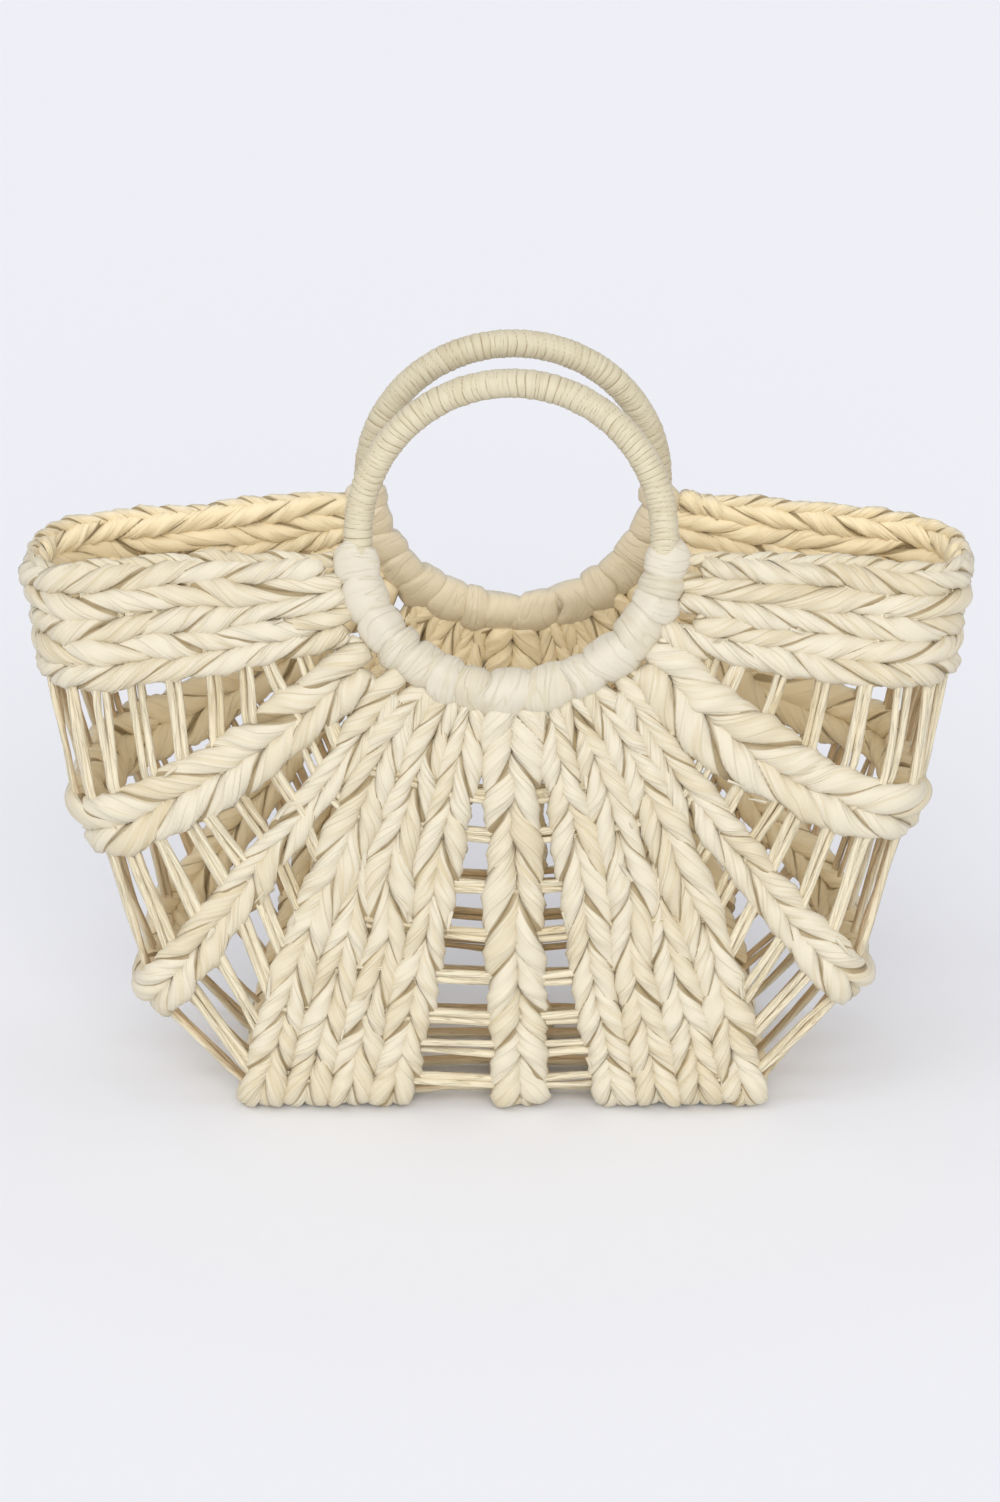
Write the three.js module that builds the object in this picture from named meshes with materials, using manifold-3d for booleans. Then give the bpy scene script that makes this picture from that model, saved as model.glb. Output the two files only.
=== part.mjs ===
// A straw basket bag: two round hoop handles, and twined rows of husk that fan out from each hoop,
// down the face, across the bottom or side, and up the other face. Paired husk cords run round the
// hoops inside the rows and show in the open work between them.
// Millimetres, +Z up, front towards -Y. The origin is on the floor under the middle of the bag.
import * as THREE from "three";
import { mergeVertices } from "three/addons/utils/BufferGeometryUtils.js";
import Module from "manifold-3d";

// Overall shape, measured to the outside. The rim band reaches less far at its lower edge.
const bandReaches = { left: [211, 204], right: [207.5, 199] };
const rimHeight = 254;
const bandEndHeight = 245;
const bandDepthAtEnd = 48;
const baseWidth = 237;
const bagDepth = 129;
const faceLean = 9;
const endLean = 15;
const endLeanReach = 150;
const leanStartHeight = 153;
const leanFullHeight = 203;

// Where the upper and the lower edge of the two free braids of each side turn round the bag's edge,
// as [reach, height]
const upperTurns = { left: [[193.6, 146.5], [181.2, 121.9]], right: [[188.8, 151], [179.7, 128.8]] };
const lowerTurns = { left: [[168.5, 60], [153.5, 43.5]], right: [[167.5, 67.5], [156.1, 49.1]] };

// The braids that cross the base
const baseBlockWidth = 77;
const centreBraidWidth = 24.5;
const centreBraidOffset = 8;

// Radius of the bend from the face to the side or base, at mid wall
const rimCornerRadius = 34;
const upperCornerRadius = 20;
const lowerCornerRadius = 18;
const baseCornerRadius = 8;

// Hoop handles and the husk that binds the rows to them
const hoopDiameter = 143.5;
const hoopThickness = 12.4;
const hoopCentreHeight = 264.8;
const hoopOffsets = { front: 3.5, back: 4.5 };
const bindingInnerOverlap = 0.8;
const bindingWidth = 17;
const bindingThickness = 15;

// A row is a twist of husk: thickness at its crest, between two rows and at the edge of a braid
const rowThickness = 9;
const seamThickness = 7;
const edgeThickness = 6;

// The paired cords
const cordWidth = 6.2;
const cordThickness = 3.2;
const cordEndBelowRim = 4;
const cordBendBelowBand = 3;

// Between pieces
const clearance = 0.3;
const rowStartOverlap = 1.5;

// Where each cord crosses the braids of either side and the three of the base, as a share of the way
// from the hoop to the middle of the side or base. The last two run in the sides.
const cordColumns = [
  "leftRim", "leftUpperTop", "leftUpperFoot", "leftLower", "base",
  "rightLower", "rightUpperFoot", "rightUpperTop", "rightRim",
];
const cordTable = [
  [0.165, 0.16, 0.18, 0.19, 0.168, 0.18, 0.18, 0.165, 0.165],
  [0.248, 0.227, 0.245, 0.25, 0.244, 0.27, 0.27, 0.214, 0.232],
  [0.302, 0.322, 0.334, 0.32, 0.344, 0.35, 0.36, 0.329, 0.341],
  [0.384, 0.409, 0.427, 0.4, 0.435, 0.426, 0.45, 0.446, 0.446],
  [0.477, 0.489, 0.503, 0.466, 0.523, 0.495, 0.495, 0.553, 0.553],
  [0.568, 0.572, 0.543, 0.526, 0.603, 0.588, 0.571, 0.649, 0.663],
  [0.655, 0.66, 0.614, 0.612, 0.664, 0.68, 0.645, 0.725, 0.755],
  [0.74, 0.715, 0.675, 0.7, 0.729, 0.775, 0.74, 0.805, 0.83],
  [0.845, 0.79, 0.73, 0.82, 0.83, 0.86, 0.84, 0.89, 0.9],
  [0.95, 0.93, 0.88, 0.94, 0.94, 0.94, 0.95, 0.96, 0.965],
];
const sideCords = 2;

const hoopSides = 8;
const hoopSteps = 30;

const radians = THREE.MathUtils.degToRad;
const midWall = rowThickness / 2;
const halfDepth = bagDepth / 2 - midWall;
const hoopRadius = (hoopDiameter - hoopThickness) / 2;
const bindingOuterRadius = hoopRadius - hoopThickness / 2 - bindingInnerOverlap + bindingWidth;
const rowStartRadius = bindingOuterRadius - rowStartOverlap;

// Half the bag's depth at mid wall: upright below, leaning in above with a soft bend, and more so
// towards the ends than at the hoops
function halfDepthAt(height, across) {
  const toEnd = THREE.MathUtils.smoothstep(across, bindingOuterRadius, endLeanReach);
  const slope = Math.tan(radians(THREE.MathUtils.lerp(faceLean, endLean, toEnd)));
  const bend = leanFullHeight - leanStartHeight;
  const above = height - leanStartHeight;
  if (above <= 0) return halfDepth;
  if (above < bend) return halfDepth - (slope * above * above) / (2 * bend);
  return halfDepth - slope * (above - bend / 2);
}

const baseEnd = baseWidth / 2;
const baseEnds = [[baseEnd, midWall], [baseEnd - baseBlockWidth, midWall]];

// The upper and lower end of a braid that turns round the bag's edge, as [across, up] at mid wall
function turnEnds(turn) {
  return turn.map(([reach, height]) => [reach - midWall, height]);
}

function bandEnds([upperReach, lowerReach]) {
  return turnEnds([[upperReach, bandEndHeight], [lowerReach, bandEndHeight - bandDepthAtEnd]]);
}

// The braids of one side from the rim to the middle of the base. For the upper and the lower edge
// of each: angle below the hoop's horizontal in degrees, how far the edge bows towards the base as
// a share of its length, and the share of the way from the hoop at which it bows most.
const braidColumns = ["name", "rows", "angles", "bows", "bendAts"];
const braidTables = {
  left: [
    ["rim_band", 5, [8, 32], [-0.03, 0.1], [0.3, 0.2]],
    ["upper_braid", 2, [32.6, 47], [0.111, 0.138], [0.67, 0.63]],
    ["lower_braid", 2, [47.6, 58.4], [0.017, -0.011], [0.8, 0.2]],
    ["base_block", 8, [59, 80.6], [-0.13, 0.026], [0.12, 0.24]],
  ],
  right: [
    ["rim_band", 5, [8, 32], [-0.03, 0.12], [0.3, 0.15]],
    ["upper_braid", 2, [32.6, 47], [0.118, 0.25], [0.71, 0.38]],
    ["lower_braid", 2, [47.6, 58.4], [0.053, 0.054], [0.44, 0.22]],
    ["base_block", 8, [59, 80.6], [-0.126, 0.027], [0.3, 0.24]],
  ],
};
const bendColumns = ["radius", "faceSteps", "cornerSteps"];
const bendTable = {
  rim_band: [rimCornerRadius, 3, 3],
  upper_braid: [upperCornerRadius, 3, 2],
  lower_braid: [lowerCornerRadius, 2, 2],
  base_block: [baseCornerRadius, 3, 2],
  centre_braid: [baseCornerRadius, 2, 2],
};

const named = (columns, values) =>
  Object.fromEntries(columns.map((column, i) => [column, values[i]]));

function sideBraids(place, side) {
  const turns = [turnEnds(upperTurns[place]), turnEnds(lowerTurns[place])];
  const ends = [bandEnds(bandReaches[place]), ...turns, baseEnds];
  return braidTables[place].map((values, i) => {
    const braid = named(braidColumns, values);
    const bend = named(bendColumns, bendTable[braid.name]);
    return { ...braid, ...bend, name: `${braid.name}_${place}`, side, ends: ends[i] };
  });
}

const centreBraid = {
  ...named(braidColumns, ["centre_braid", 2, [81.2, 98.8], [0, 0], [0.5, 0.5]]),
  ...named(bendColumns, bendTable.centre_braid),
  side: 1,
  ends: [
    [centreBraidWidth / 2 - centreBraidOffset, midWall],
    [-centreBraidWidth / 2 - centreBraidOffset, midWall],
  ],
};

// The line of a row over one face and round to the middle of the side or base, as [across, up]
function rowPath(braid, share, face) {
  const mix = (pair) => THREE.MathUtils.lerp(pair[0], pair[1], share);
  const angle = radians(mix(braid.angles));
  const start = new THREE.Vector2(
    rowStartRadius * Math.cos(angle) - braid.side * hoopOffsets[face],
    hoopCentreHeight - rowStartRadius * Math.sin(angle) * Math.cos(radians(faceLean)),
  );
  const end = new THREE.Vector2(
    THREE.MathUtils.lerp(braid.ends[0][0], braid.ends[1][0], share),
    THREE.MathUtils.lerp(braid.ends[0][1], braid.ends[1][1], share),
  );
  const along = end.clone().sub(start);
  const down = new THREE.Vector2(along.y, -along.x);
  const control = start.clone()
    .addScaledVector(along, mix(braid.bendAts)).addScaledVector(down, mix(braid.bows));
  const line = new THREE.QuadraticBezierCurve(start, control, end);
  const flat = line.getLength() - braid.radius;
  const straight = halfDepthAt(end.y, end.x) - braid.radius;
  return { line, flat, straight, radius: braid.radius };
}

// Lengths of the face, bend and side stretches of a braid, as shares of half its way round
function stretchShares(braid) {
  const middle = rowPath(braid, 0.5, "front");
  const bend = (Math.PI / 2) * middle.radius;
  const total = middle.flat + bend + middle.straight;
  return { face: middle.flat / total, bend: (middle.flat + bend) / total };
}

// A point at mid wall: share runs across the braid and way from the front hoop (0) to the back (2)
function rowPoint(braid, share, way) {
  const path = rowPath(braid, share, way <= 1 ? "front" : "back");
  const parts = stretchShares(braid);
  const half = way <= 1 ? way : 2 - way;
  const whole = path.flat + path.radius;
  let reach = whole;
  let inward = path.radius;
  if (half < parts.face) {
    reach = (half / parts.face) * path.flat;
    inward = 0;
  } else if (half < parts.bend) {
    const turn = ((half - parts.face) / (parts.bend - parts.face)) * (Math.PI / 2);
    reach = path.flat + path.radius * Math.sin(turn);
    inward = path.radius * (1 - Math.cos(turn));
  } else {
    inward += ((half - parts.bend) / (1 - parts.bend)) * path.straight;
  }
  const [across, up] = path.line.getPointAt(Math.min(reach / whole, 1)).toArray();
  const depth = halfDepthAt(up, across) - inward;
  return new THREE.Vector3(-braid.side * across, way <= 1 ? -depth : depth, up);
}

// Outward direction of the wall
function rowNormal(braid, share, way) {
  const step = 0.01;
  const along = rowPoint(braid, share, Math.min(way + step, 2))
    .sub(rowPoint(braid, share, Math.max(way - step, 0)));
  const across = rowPoint(braid, share + step, way).sub(rowPoint(braid, share - step, way));
  const normal = along.cross(across).normalize();
  const outward = rowPoint(braid, share, way).sub(new THREE.Vector3(0, 0, rimHeight * 0.6));
  return normal.dot(outward) < 0 ? normal.negate() : normal;
}

// Where along a braid its solid has a section
function stations(braid) {
  const { face, bend } = stretchShares(braid);
  const front = [];
  const { faceSteps, cornerSteps } = braid;
  for (let i = 0; i < faceSteps; i++) front.push((face * i) / faceSteps);
  for (let i = 0; i <= cornerSteps; i++) front.push(face + ((bend - face) * i) / cornerSteps);
  return [...front, ...front.map((way) => 2 - way).reverse()];
}

// A point and normal on the faceted wall, between two of its sections
function wallAt(braid, share, way) {
  const ways = stations(braid);
  const next = Math.max(1, ways.findIndex((w) => w >= way));
  const mix = (way - ways[next - 1]) / (ways[next] - ways[next - 1]);
  const point = rowPoint(braid, share, ways[next - 1])
    .lerp(rowPoint(braid, share, ways[next]), mix);
  const normal = rowNormal(braid, share, ways[next - 1])
    .lerp(rowNormal(braid, share, ways[next]), mix).normalize();
  return { point, normal };
}

// Joins closed loops of points, one after the other, into a solid with flat ends
function loft(loops) {
  const count = loops[0].length;
  const index = [];
  for (let ring = 0; ring + 1 < loops.length; ring++) {
    for (let i = 0; i < count; i++) {
      const a = ring * count + i;
      const b = ring * count + ((i + 1) % count);
      index.push(a, b, a + count, b, b + count, a + count);
    }
  }
  const flat = loops[0].map((_, i) => {
    const turn = (i / count) * 2 * Math.PI;
    return new THREE.Vector2(Math.cos(turn), Math.sin(turn));
  });
  const last = (loops.length - 1) * count;
  for (const [a, b, c] of THREE.ShapeUtils.triangulateShape(flat, [])) {
    index.push(a, c, b, last + a, last + b, last + c);
  }
  const geometry = new THREE.BufferGeometry().setFromPoints(loops.flat());
  geometry.setIndex(index);
  return geometry;
}

const wasm = await Module();
wasm.setup();

function toSolid(geometry) {
  const bare = geometry.clone();
  bare.deleteAttribute("normal");
  bare.deleteAttribute("uv");
  const merged = mergeVertices(bare, 1e-3);
  const make = (triVerts) => new wasm.Manifold(new wasm.Mesh({
    numProp: 3, vertProperties: merged.attributes.position.array, triVerts,
  }));
  const corners = new Uint32Array(merged.index.array);
  const solid = make(corners);
  return solid.volume() > 0 ? solid : make(corners.reverse());
}

function toGeometry(solid) {
  const mesh = solid.getMesh();
  const geometry = new THREE.BufferGeometry();
  geometry.setAttribute("position", new THREE.BufferAttribute(mesh.vertProperties, 3));
  geometry.setIndex(new THREE.BufferAttribute(mesh.triVerts, 1));
  geometry.computeVertexNormals();
  return geometry;
}

// Outline across a braid as [share, height]: a flat-topped crest for each row, lower at the seams
function braidSection(rows) {
  const outer = [[0, edgeThickness / 2]];
  for (let row = 0; row < rows; row++) {
    if (row > 0) outer.push([row / rows, seamThickness / 2]);
    if (rows > 2) outer.push([(row + 0.5) / rows, midWall]);
    else outer.push([(row + 0.3) / rows, midWall], [(row + 0.7) / rows, midWall]);
  }
  outer.push([1, edgeThickness / 2]);
  const inner = [[1, -edgeThickness / 2], [0.9, -midWall], [0.1, -midWall], [0, -edgeThickness / 2]];
  return [...outer, ...inner];
}

function braidSolid(braid) {
  const section = braidSection(braid.rows);
  const loops = stations(braid).map((way) => section.map(([share, height]) =>
    rowPoint(braid, share, way).addScaledVector(rowNormal(braid, share, way), height)));
  return toSolid(loft(loops));
}

// The crossings of a cord in order from rim to rim, as [braid, column, shares across the braid]
const sunk = cordEndBelowRim / bandDepthAtEnd;
const beyond = 1 + cordBendBelowBand / bandDepthAtEnd;
const crossings = [
  ["rim_band_left", "leftRim", [sunk, beyond]],
  ["upper_braid_left", "leftUpperTop", [0.1]],
  ["upper_braid_left", "leftUpperFoot", [0.9]],
  ["lower_braid_left", "leftLower", [0.5]],
  ["base_block_left", "base", [0.06, 0.94]],
  ["centre_braid", "base", [0.5]],
  ["base_block_right", "base", [0.94, 0.06]],
  ["lower_braid_right", "rightLower", [0.5]],
  ["upper_braid_right", "rightUpperFoot", [0.9]],
  ["upper_braid_right", "rightUpperTop", [0.1]],
  ["rim_band_right", "rightRim", [beyond, sunk]],
];

// The line of one cord, a point wherever it changes direction. On the back it runs as on the front.
function cordPath(braids, values, face) {
  const ways = named(cordColumns, values);
  return crossings.flatMap(([name, column, shares]) => {
    const braid = braids.find((one) => one.name === name);
    const way = face === "front" ? ways[column] : 2 - ways[column];
    return shares.map((share) => wallAt(braid, share, way));
  });
}

// A cord, or the room for it, with the section's corners given as [across, out] from its middle
function cordSolid(path, corners, beyondEnds) {
  const loops = path.map(({ point, normal }, i) => {
    const before = path[Math.max(i - 1, 0)].point;
    const after = path[Math.min(i + 1, path.length - 1)].point;
    const along = after.clone().sub(before).normalize();
    const across = along.clone().cross(normal).normalize();
    const out = across.clone().cross(along);
    const end = i === 0 ? -beyondEnds : i === path.length - 1 ? beyondEnds : 0;
    return corners.map(([u, v]) => point.clone()
      .addScaledVector(along, end).addScaledVector(across, u).addScaledVector(out, v));
  });
  return toSolid(loft(loops));
}

function cordCorners(extra) {
  const across = cordWidth / 2 + extra;
  const out = cordThickness / 2 + extra;
  return [[across, out], [-across, out], [-across, -out], [across, -out]];
}

// A ring of husk in the hoop's own plane, from and to a number of steps below its horizontal, with
// the section's corners given as [radius, out]
function ringGeometry(corners, firstStep, lastStep) {
  const loops = [];
  for (let step = firstStep; step <= lastStep; step++) {
    const turn = (-2 * Math.PI * step) / hoopSteps;
    loops.push(corners.map(([radius, out]) =>
      new THREE.Vector3(radius * Math.cos(turn), radius * Math.sin(turn), out)));
  }
  return loft(loops);
}

// The binding's section, or the section of the room for it
function bindingCorners(extra) {
  const half = bindingThickness / 2 + extra;
  const inner = bindingOuterRadius - bindingWidth - extra;
  const outer = bindingOuterRadius + extra;
  const corner = bindingThickness / 4;
  return [
    [inner, -corner], [inner, corner], [inner + corner, half], [outer - corner, half],
    [outer, corner], [outer, -corner], [outer - corner, -half], [inner + corner, -half],
  ];
}

function hoopCorners(extra) {
  const radius = hoopThickness / 2 + extra;
  return Array.from({ length: hoopSides }, (_, i) => {
    const turn = (2 * Math.PI * i) / hoopSides;
    return [hoopRadius + radius * Math.cos(turn), radius * Math.sin(turn)];
  });
}

const straw = {
  braid: new THREE.MeshStandardMaterial({ color: "#e9e0c6", roughness: 0.8, metalness: 0 }),
  cord: new THREE.MeshStandardMaterial({ color: "#e2d4a9", roughness: 0.75, metalness: 0 }),
  hoop: new THREE.MeshStandardMaterial({ color: "#e3d9b9", roughness: 0.7, metalness: 0 }),
  binding: new THREE.MeshStandardMaterial({ color: "#ece5d2", roughness: 0.65, metalness: 0 }),
};

const bag = new THREE.Group();
bag.name = "straw_basket_bag";

function addPiece(name, geometry, material) {
  const mesh = new THREE.Mesh(geometry, material);
  mesh.name = name;
  bag.add(mesh);
}

// Handles, front and back. The binding starts one step below the hoop's horizontal.
const bindings = [];
for (const [face, side] of [["front", -1], ["back", 1]]) {
  const turned = new THREE.Matrix4().makeRotationX(radians(90 + side * faceLean));
  turned.setPosition(hoopOffsets[face], side * halfDepthAt(hoopCentreHeight, 0), hoopCentreHeight);
  const placed = (corners, first, last) =>
    toSolid(ringGeometry(corners, first, last).applyMatrix4(turned));
  const last = hoopSteps / 2 - 1;
  const hoop = new THREE.TorusGeometry(hoopRadius, hoopThickness / 2, hoopSides, hoopSteps);
  const binding = placed(bindingCorners(0), 1, last)
    .subtract(placed(hoopCorners(clearance), 0, last + 1));
  addPiece(`${face}_hoop`, hoop.applyMatrix4(turned), straw.hoop);
  addPiece(`${face}_binding`, toGeometry(binding), straw.binding);
  bindings.push(placed(bindingCorners(clearance), 1, last));
}

// Braids in order from the left rim, under the handles, to the right rim
const allBraids = [...sideBraids("left", 1), centreBraid, ...sideBraids("right", -1).reverse()];

const cordPaths = ["front", "back"].flatMap((face) => {
  const paths = cordTable.map((values) => cordPath(allBraids, values, face));
  return face === "front" ? paths : paths.reverse();
});
const room = [...bindings, ...cordPaths.map((path) => cordSolid(path, cordCorners(clearance), clearance))];

for (const braid of allBraids) {
  const solid = room.reduce((rest, hole) => rest.subtract(hole), braidSolid(braid));
  addPiece(braid.name, toGeometry(solid), straw.braid);
}

const faceCords = cordTable.length - sideCords;
const cordNames = [
  ...Array.from({ length: faceCords }, (_, i) => `front_cord_${i + 1}`),
  ...Array.from({ length: 2 * sideCords }, (_, i) => `base_cord_${i + 1}`),
  ...Array.from({ length: faceCords }, (_, i) => `back_cord_${faceCords - i}`),
];
cordPaths.forEach((path, i) => {
  addPiece(cordNames[i], toGeometry(cordSolid(path, cordCorners(0), 0)), straw.cord);
});

export default bag;
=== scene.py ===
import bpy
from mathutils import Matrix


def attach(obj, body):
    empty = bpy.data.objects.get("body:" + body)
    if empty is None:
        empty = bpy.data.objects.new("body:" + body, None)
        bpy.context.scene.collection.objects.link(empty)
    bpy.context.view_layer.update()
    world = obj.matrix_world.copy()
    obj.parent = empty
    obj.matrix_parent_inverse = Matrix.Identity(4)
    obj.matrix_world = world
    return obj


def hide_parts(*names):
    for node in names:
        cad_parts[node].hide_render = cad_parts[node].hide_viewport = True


bl_info = {
    "name": "Straw Basket Bag",
    "version": (1, 0, 0),
    "blender": (4, 5, 0),
    "location": "3D View > Sidebar > Straw Bag",
    "description": "Twines an open-work straw bag with two wound hoop handles over its measured frame",
    "category": "Object",
}

import math

import bpy
import numpy as np

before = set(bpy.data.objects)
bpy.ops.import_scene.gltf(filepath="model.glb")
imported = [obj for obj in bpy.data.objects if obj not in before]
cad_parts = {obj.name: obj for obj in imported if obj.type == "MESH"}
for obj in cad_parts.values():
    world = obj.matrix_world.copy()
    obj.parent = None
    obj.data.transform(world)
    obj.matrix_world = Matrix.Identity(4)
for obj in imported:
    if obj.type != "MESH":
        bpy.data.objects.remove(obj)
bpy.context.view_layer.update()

# How finely the wall under each braid is worked out, and how far past its edges, as a share
LINE_POINTS = 129
NET_ROWS = 49
NET_STEPS = 281
NET_MARGIN = 0.1

# Sizes are in metres and angles in degrees. The rows of husk lie on a wall, measured at the middle
# of its thickness, which stands upright below and leans in above.
MID_WALL = 0.0045
HALF_DEPTH = 0.060
MIDDLE_HEIGHT = 0.15
LEAN_START_HEIGHT = 0.153
LEAN_FULL_HEIGHT = 0.203
HOOP_LEAN = 9.0
END_LEAN = 15.0
END_LEAN_REACH = 0.150
# Reach of the rim band's upper and lower edge at each end of the bag
BAND_REACHES = {"left": (0.211, 0.204), "right": (0.2075, 0.199)}
BAND_END_HEIGHT = 0.245
BAND_END_DEPTH = 0.048
BASE_REACH = 0.1185
BASE_BLOCK_WIDTH = 0.077
CENTRE_BRAID_EDGES = (-0.00425, 0.02025)
CENTRE_BRAID_ANGLES = (81.2, 98.8)
# Reach and height at which the edges of the upper and lower braid turn round each end
TURNS = {
    "left": (((0.1936, 0.1465), (0.1812, 0.1219)), ((0.1685, 0.0600), (0.1535, 0.0435))),
    "right": (((0.1888, 0.1510), (0.1797, 0.1288)), ((0.1675, 0.0675), (0.1561, 0.0491))),
}

# The hoops: height of their middle, how far right of the bag's middle the front and the back one
# stand, and the radius of the ring. The wide binding reaches from its inner to its outer radius.
HOOP_HEIGHT = 0.2648
HOOP_OFFSETS = (0.0035, 0.0045)
HOOP_RADIUS = 0.06555
HOOP_TURNS = 150
BINDING_INNER = 0.05855
BINDING_OUTER = 0.07555
BINDING_STRIPS = 15
BINDING_ANGLES = (4, 176)
BINDING_HALF_WIDTH = 0.0088
BINDING_HALF_THICKNESS = 0.0076
ROW_START_RADIUS = BINDING_OUTER - 0.0015

# Braids of one side: name, rows, and for the upper and lower edge the angle below the hoop's
# horizontal in degrees, the bow towards the base, and where along the edge it bows most
BRAID_TABLES = {
    "left": (
        ("rim_band", 5, (8, 32), (-0.03, 0.1), (0.3, 0.2)),
        ("upper_braid", 2, (32.6, 47), (0.111, 0.138), (0.67, 0.63)),
        ("lower_braid", 2, (47.6, 58.4), (0.017, -0.011), (0.8, 0.2)),
        ("base_block", 8, (59, 80.6), (-0.13, 0.026), (0.12, 0.24)),
    ),
    "right": (
        ("rim_band", 5, (8, 32), (-0.03, 0.12), (0.3, 0.15)),
        ("upper_braid", 2, (32.6, 47), (0.118, 0.25), (0.71, 0.38)),
        ("lower_braid", 2, (47.6, 58.4), (0.053, 0.054), (0.44, 0.22)),
        ("base_block", 8, (59, 80.6), (-0.126, 0.027), (0.3, 0.24)),
    ),
}
# Radius of the bend from each face into the side or base
CORNER_RADII = {
    "rim_band": 0.034,
    "upper_braid": 0.020,
    "lower_braid": 0.018,
    "base_block": 0.008,
    "centre_braid": 0.008,
}

# Where each cord crosses the braids, as a share of the way from the hoop to the middle of the side
# or base. The rows go from the hoop outwards, and the last ones run up the sides.
SIDE_CORDS = 2
CORD_COLUMNS = (
    "left_rim", "left_upper_top", "left_upper_foot", "left_lower", "base",
    "right_lower", "right_upper_foot", "right_upper_top", "right_rim",
)
CORD_TABLE = (
    (0.165, 0.16, 0.18, 0.19, 0.168, 0.18, 0.18, 0.165, 0.165),
    (0.248, 0.227, 0.245, 0.25, 0.244, 0.27, 0.27, 0.214, 0.232),
    (0.302, 0.322, 0.334, 0.32, 0.344, 0.35, 0.36, 0.329, 0.341),
    (0.384, 0.409, 0.427, 0.4, 0.435, 0.426, 0.45, 0.446, 0.446),
    (0.477, 0.489, 0.503, 0.466, 0.523, 0.495, 0.495, 0.553, 0.553),
    (0.568, 0.572, 0.543, 0.526, 0.603, 0.588, 0.571, 0.649, 0.663),
    (0.655, 0.66, 0.614, 0.612, 0.664, 0.68, 0.645, 0.725, 0.755),
    (0.74, 0.715, 0.675, 0.7, 0.729, 0.775, 0.74, 0.805, 0.83),
    (0.845, 0.79, 0.73, 0.82, 0.83, 0.86, 0.84, 0.89, 0.9),
    (0.95, 0.93, 0.88, 0.94, 0.94, 0.94, 0.95, 0.96, 0.965),
)
# A cord starts a little below the rim and leaves the rim band a little past its lower edge
RIM_SHARES = (0.004 / BAND_END_DEPTH, 1 + 0.003 / BAND_END_DEPTH)
# The crossings of a cord in order from rim to rim: braid, column and shares across the braid
CROSSINGS = (
    ("rim_band_left", "left_rim", RIM_SHARES),
    ("upper_braid_left", "left_upper_top", (0.1,)),
    ("upper_braid_left", "left_upper_foot", (0.9,)),
    ("lower_braid_left", "left_lower", (0.5,)),
    ("base_block_left", "base", (0.06, 0.94)),
    ("centre_braid", "base", (0.5,)),
    ("base_block_right", "base", (0.94, 0.06)),
    ("lower_braid_right", "right_lower", (0.5,)),
    ("upper_braid_right", "right_upper_foot", (0.9,)),
    ("upper_braid_right", "right_upper_top", (0.1,)),
    ("rim_band_right", "right_rim", RIM_SHARES[::-1]),
)
# Length of the steps along a cord, of its uneven stretches and of its rounded ends, how far each
# strand lies off the middle of the pair, and how fast the strands are twisted, in radians a metre
CORD_STEP = 0.0045
CORD_STRETCH = 0.028
CORD_END = 0.003
PAIR_SPREAD = 0.0017
CORD_TWIST = 35

# Ways along a row at which stitches lie nearer to the hoop than the first cord
FIRST_STITCH_WAYS = (0.012, 0.092)
# How far the outer rows of a braid spread at the hoops to close the slits, as a share of its width,
# and between which ways along the row the spread fades out
CLOSE_UP_WAYS = (0.06, 0.19)
CLOSE_UP = {
    "rim_band": 0.04,
    "upper_braid": 0.09,
    "lower_braid": 0.10,
    "base_block": 0.03,
    "centre_braid": 0.09,
}
# Length of the stitches of each row. Those of the other braids each cover one cord.
STITCHES = {
    "rim_band": (0.0215, 0.0262, 0.0222, 0.0238, 0.0218),
    "upper_braid": (0.0232, 0.0246),
    "lower_braid": (0.0212, 0.0226),
}
# The thin twist along the rim: its stitch, thickness and edges as shares of the rim band
EDGING_STITCH = 0.0115
EDGING_THICKNESS = 0.0062
EDGING_EDGES = (-0.055, 0.04)
# Section of a strand as shares of half the twist: how far off its middle, how high and how wide.
# Its outline is a circle bent towards a square by the power given.
STRAND_OFFSET = 0.40
STRAND_RISE = 0.66
STRAND_SPREAD = 0.96
SQUARENESS = 0.68
# A row this wide is as thick as the setting says, and a strand is never narrower than the least
FULL_ROW_WIDTH = 0.0100
LEAST_HALF_WIDTH = 0.0018
# How stitches differ, as mean and spread: width, thickness, shift in metres, turn and creases
UNEVENNESS = ((1.0, 0.11), (1.0, 0.15), (0.0, 0.0008), (0.0, 0.24), (0.05, 0.03))
# Rows of a base block that start part of the way down, how far down on the left (1) and right (-1),
# and how much farther down they have their full width
SHORT_ROWS = (2, 3)
SHORT_ROW_STARTS = {1: 0.30, -1: 0.35}
SHORT_ROW_SWELL = 0.16
# Stray tips: ways along a row at which they start on the front, how much farther on the back, their
# lengths as ways, how far off the middle of the wall they start, rise and curl, and their half widths
TIP_WAYS = (0.10, 0.75)
TIP_BACK_START = 1.15
TIP_LENGTHS = (0.02, 0.05)
TIP_ROOT = 0.0028
TIP_RISE = 0.0012
TIP_CURL = 0.0035
TIP_HALF_WIDTHS = (0.0006, 0.0016)
# A strand gets painted seam shade, darker where it tucks under its neighbour, below this share of half
# the twist, and takes the inside colour, a yellower husk side with painted warm bounce light, between
# these depths behind its middle
SEAM_SHADE_LIMIT = 0.25
INSIDE_DEPTHS = (-0.0005, 0.0025)
# Width of husk round a strand and round the hoop, and the size of the pattern on a binding strip. A
# pattern moves by the shift for each metre between strands, so that no two are alike.
STRAND_HUSK_WIDTH = 0.03
HOOP_HUSK_WIDTH = 0.036
BINDING_HUSK_SIZE = (0.05, 0.02)
PATTERN_SHIFT = 20

# Where the random draws of each kind of piece start, and how much further on for a back cord
HOOP_DRAWS = 40
BINDING_DRAWS = 60
BRAID_DRAWS = 100
CORD_DRAWS = 200
BACK_CORD_DRAWS = 20

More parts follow.
